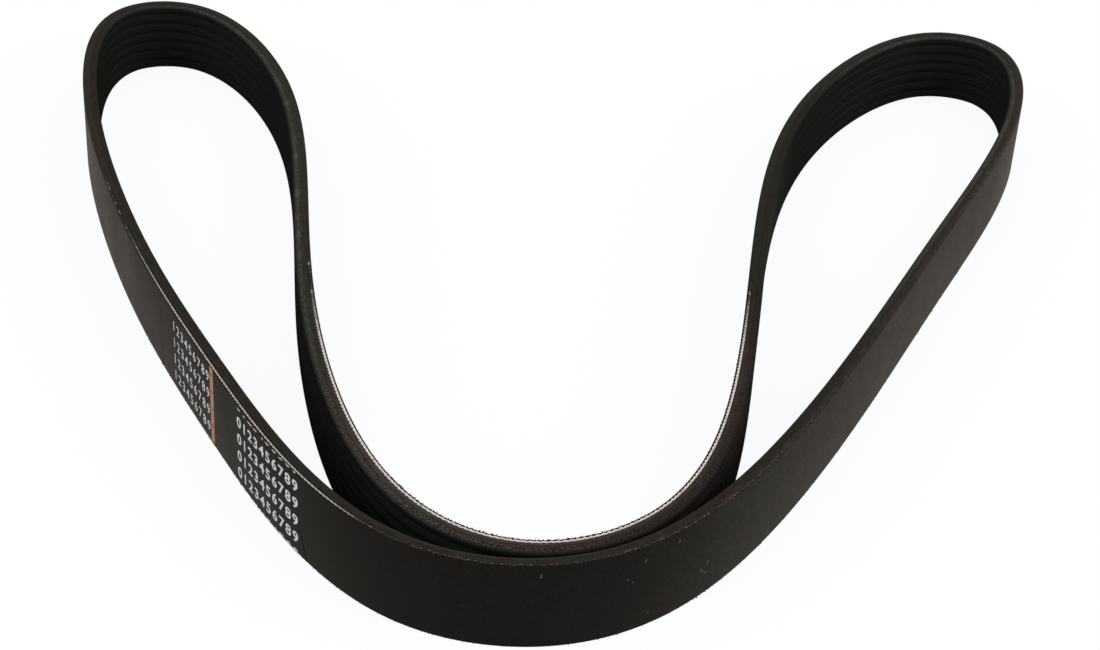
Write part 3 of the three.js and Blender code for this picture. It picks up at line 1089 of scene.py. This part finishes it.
# %% Thin slanted plates, for the orange bar and the flecks
def plates(name, spots):
    """Plates as thick as a film of ink. spots is a list of (x, y, width, height, rise, slant)."""
    corners, faces = [], []
    for x, y, width, tall, rise, slant in spots:
        outline = [(x, y), (x + width, y + rise)]
        outline += [(x + width + slant, y + tall + rise), (x + slant, y + tall)]
        first = len(corners)
        corners += [(*corner, z) for z in (-INK_SINK, INK_RISE) for corner in outline]
        sides = [(i, (i + 1) % 4, (i + 1) % 4 + 4, i + 4) for i in range(4)]
        around = [(3, 2, 1, 0), (4, 5, 6, 7), *sides]
        faces += [[first + i for i in face] for face in around]
    data = bpy.data.meshes.new(name)
    data.from_pydata(corners, [], faces)
    return add_object(name, data)


# %% The orange bar
BAR_WIDTH = 2.5 * MM
BAR_PIECE = 5.2 * MM
BAR_PITCH = 5.5 * MM
BAR_RISE = 0.5 * MM
# Far taller than any row, so that nothing of it is cut off.
UNCUT = 1.0

bar_piece = plates("bar_piece", [(0, 0, BAR_WIDTH, BAR_PIECE, BAR_RISE, 0)])
orange_bar = bake(
    "orange_bar", start, path=belt_path, row=bar_piece, first=1392.7 * MM,
    foot=-4.9 * MM, lean=0.0, kept=UNCUT, pitch=BAR_PITCH, rows=6, ink=orange_ink)

# %% Pale flecks of fibre that cling to the back
FIBRE_WIDTH = 0.14
FIBRE_START = 1505 * MM
# Millimetres along from the start, up from the foot edge, how tall, and how far the top leans along
FIBRES = [
    (17.5, 21.2, 1.1, 0.1), (6.7, 9.4, 0.4, 0.0), (40.0, 16.2, 0.4, 0.1), (44.7, 20.1, 0.8, 0.5),
    (41.5, 14.9, 0.3, 0.0), (55.5, 21.6, 0.7, 0.1), (65.7, 7.4, 1.4, -0.9), (67.0, 9.2, 0.8, 0.7),
    (66.4, 6.3, 0.8, 0.8), (47.0, 3.5, 0.4, 0.0),
]
spots = [[size * MM for size in (x, y, FIBRE_WIDTH, tall, 0, slant)] for x, y, tall, slant in FIBRES]
fleck_row = plates("fleck_row", spots)
fibre_pale = plain_ink("fibre_pale", srgb(118, 110, 101))
fibre_flecks = bake(
    "fibre_flecks", start, path=belt_path, row=fleck_row, first=FIBRE_START,
    foot=0.0, lean=0.0, kept=UNCUT, pitch=0.0, rows=1, ink=fibre_pale)

# %% [markdown]
# Handing the pieces over
#
# The helper objects have done their work, so they go. Each piece rides on the one body, and the belt and
# both cords hide the solids they stand for.

for helper in (belt_path, belt_section, thin_row, bold_row, bar_piece, fleck_row):
    bpy.data.objects.remove(helper)

rubber_pieces = [belt, *crumbs.values()]
cord_pieces = list(cords.values())
print_pieces = [thin_print, bold_print, cut_print, orange_bar, fibre_flecks]
for piece in [*rubber_pieces, *cord_pieces, *print_pieces]:
    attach(piece, "root")
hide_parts("belt_body")
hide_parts("bare_cord_inner_run")
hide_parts("bare_cord_outer_run")
print(len(rubber_pieces), "pieces of rubber,", len(cord_pieces), "of cord,", len(print_pieces), "of print")

# %% [markdown]
# Floor, light and camera
#
# The photo is a product shot: the belt on white, lit softly from all round. A pale floor, a plain
# pale world and two weak soft lamps give that light. Seen by the camera itself the world is white
# and the floor nearly so, while the floor still takes the belt's shadow and throws light back.

# %% Floor
FLOOR_REACH = 6.0
FLOOR_GLOW = 0.93
FLOOR_PAINT = (0.85, 0.85, 0.85, 1)
SKY_LIGHT = (0.8, 0.8, 0.8, 1)


def seen_directly(surface):
    """1 for rays that reach this from the camera, straight or by a mirror or glass."""
    rays = surface.node("ShaderNodeLightPath")
    seen = rays.other("Is Camera Ray").math("MAXIMUM", rays.other("Is Glossy Ray"))
    return seen.math("MAXIMUM", rays.other("Is Transmission Ray"))


floor_data = bpy.data.meshes.new("floor")
square = [(-FLOOR_REACH, -FLOOR_REACH, 0), (FLOOR_REACH, -FLOOR_REACH, 0)]
square += [(FLOOR_REACH, FLOOR_REACH, 0), (-FLOOR_REACH, FLOOR_REACH, 0)]
floor_data.from_pydata(square, [], [(0, 1, 2, 3)])
floor = add_object("floor", floor_data)
floor_paint, surface, floor_shader = new_finish("floor_paint", roughness=0.9, specular=0.0)
floor_shader.inputs["Base Color"].default_value = FLOOR_PAINT
glow = surface.node("ShaderNodeEmission", {}, {"Color": WHITE})
paint = Wire(surface.tree, floor_shader.outputs[0])
glowing = seen_directly(surface) * FLOOR_GLOW
lit = surface.node("ShaderNodeMixShader", {}, {0: glowing, 1: paint, 2: glow})
surface.tree.links.new(lit.socket, surface.tree.nodes["Material Output"].inputs[0])
floor_data.materials.append(floor_paint)
print("floor", 2 * FLOOR_REACH, "m wide")

# %% World
world = bpy.data.worlds.new("studio")
world.use_nodes = True
bpy.context.scene.world = world
surface = Wire(world.node_tree)
background = world.node_tree.nodes["Background"]
sky = seen_directly(surface).mix(SKY_LIGHT, WHITE)
world.node_tree.links.new(sky.socket, background.inputs["Color"])
print("world:", world.name)

# %% Lamps: the place and the side in metres, and the watts
LAMPS = {
    "softbox_right": ((1.3, -0.5, 1.1), 1.2, 14),
    "softbox_left": ((-1.2, -0.7, 1.1), 1.2, 9),
}
for name, (spot, side, watts) in LAMPS.items():
    lamp_data = bpy.data.lights.new(name, "AREA")
    lamp_data.size = side
    lamp_data.energy = watts
    lamp = add_object(name, lamp_data)
    lamp.location = spot
    lamp.rotation_euler = (-Vector(spot)).to_track_quat("-Z", "Y").to_euler()
    print(name, watts, "W")

# %% Camera: its place, its angles in radians, and its lens on a film 36 mm wide
CAMERA_PLACE = Vector((3.81, -582.95, 343.42)) * MM
CAMERA_DOWN = 0.54411
CAMERA_ROLL = 0.05735
CAMERA_YAW = -0.00229
LENS = 71.78
FILM_WIDTH = 36
NEAREST = 10 * MM
UPRIGHT = Vector((0, 0, 1))

right = Vector((math.cos(CAMERA_YAW), -math.sin(CAMERA_YAW), 0))
level_ahead = Vector((math.sin(CAMERA_YAW), math.cos(CAMERA_YAW), 0))
ahead = level_ahead * math.cos(CAMERA_DOWN) - UPRIGHT * math.sin(CAMERA_DOWN)
up = level_ahead * math.sin(CAMERA_DOWN) + UPRIGHT * math.cos(CAMERA_DOWN)
rolled_right = right * math.cos(CAMERA_ROLL) + up * math.sin(CAMERA_ROLL)
rolled_up = up * math.cos(CAMERA_ROLL) - right * math.sin(CAMERA_ROLL)
axes = Matrix((rolled_right, rolled_up, -ahead)).transposed()

camera_data = bpy.data.cameras.new("camera")
camera_data.sensor_width = FILM_WIDTH
camera_data.lens = LENS
camera_data.clip_start = NEAREST
camera = add_object("camera", camera_data)
camera.matrix_world = Matrix.Translation(CAMERA_PLACE) @ axes.to_4x4()
bpy.context.scene.camera = camera
bpy.context.scene.view_settings.view_transform = "Standard"
print(f"camera {CAMERA_PLACE.length:.2f} m away, {math.degrees(CAMERA_DOWN):.0f} degrees down")
